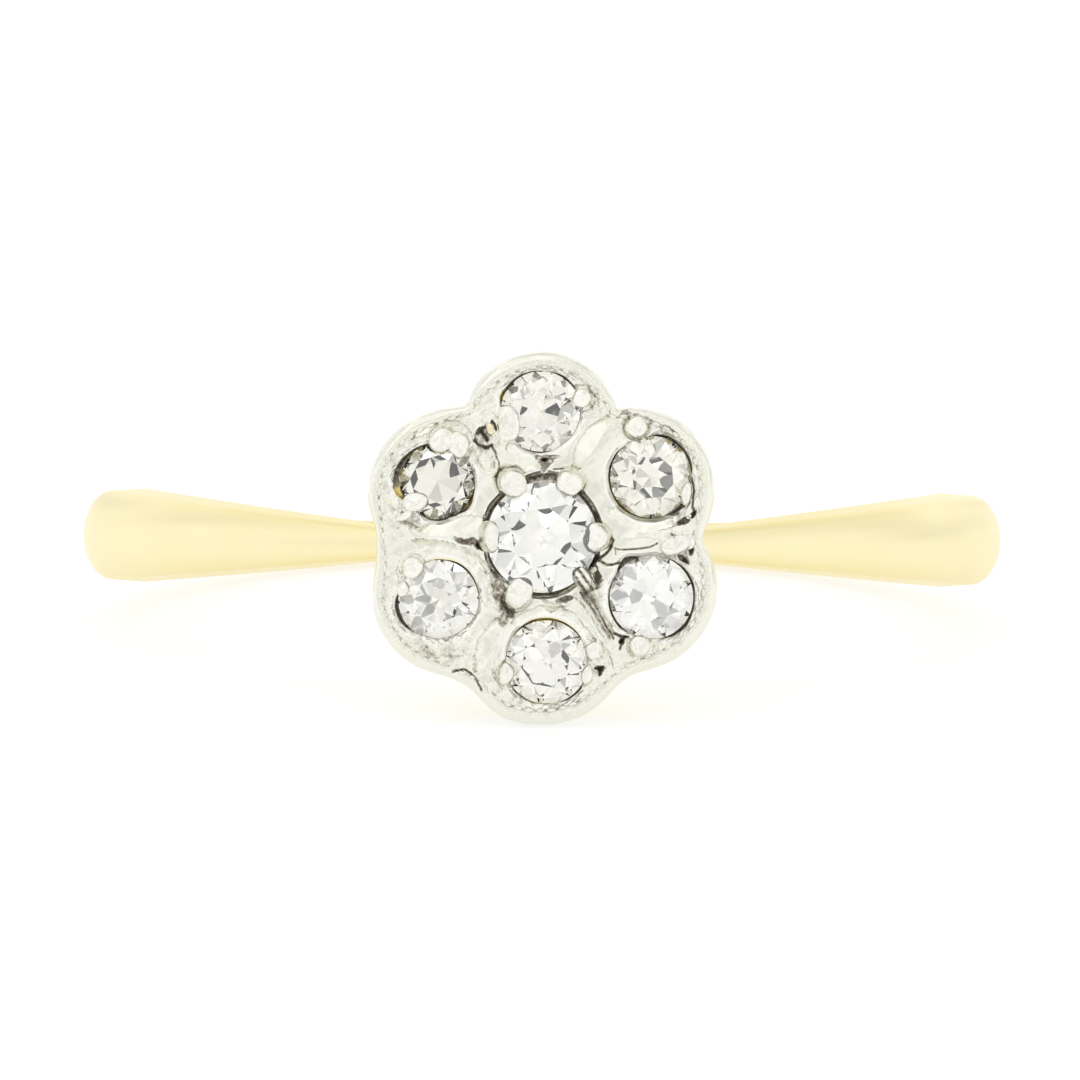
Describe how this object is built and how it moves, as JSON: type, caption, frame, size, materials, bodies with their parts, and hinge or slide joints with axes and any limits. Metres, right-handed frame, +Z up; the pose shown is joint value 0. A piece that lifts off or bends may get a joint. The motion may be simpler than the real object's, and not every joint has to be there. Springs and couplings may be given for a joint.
{
  "type": "cluster ring",
  "caption": "Gold ring with a platinum daisy head: a raised centre stone in claws, ringed by petal stones in a scalloped, milgrain-edged cup on a fluted gallery.",
  "frame": {"origin": "on the surface that the ring lies on, under the centre of its bounding box", "axes": "+Z up from that surface, the head faces -Y and is tipped up by about 9.3 degrees, and X runs across the head along the band"},
  "size_m": [0.0198, 0.022, 0.0076],
  "materials": {
    "gold": "polished yellow gold, lightly worn",
    "platinum": "polished platinum, worn and slightly soiled in its recesses",
    "stone": "cut and polished colourless stone"
  },
  "bodies": {
    "root": {"band": "gold", "setting": "platinum", "centre_stone": "stone", "petal_stone_top": "stone", "petal_stone_upper_left": "stone", "petal_stone_lower_left": "stone", "petal_stone_bottom": "stone", "petal_stone_lower_right": "stone", "petal_stone_upper_right": "stone"}
  },
  "joints": []
}
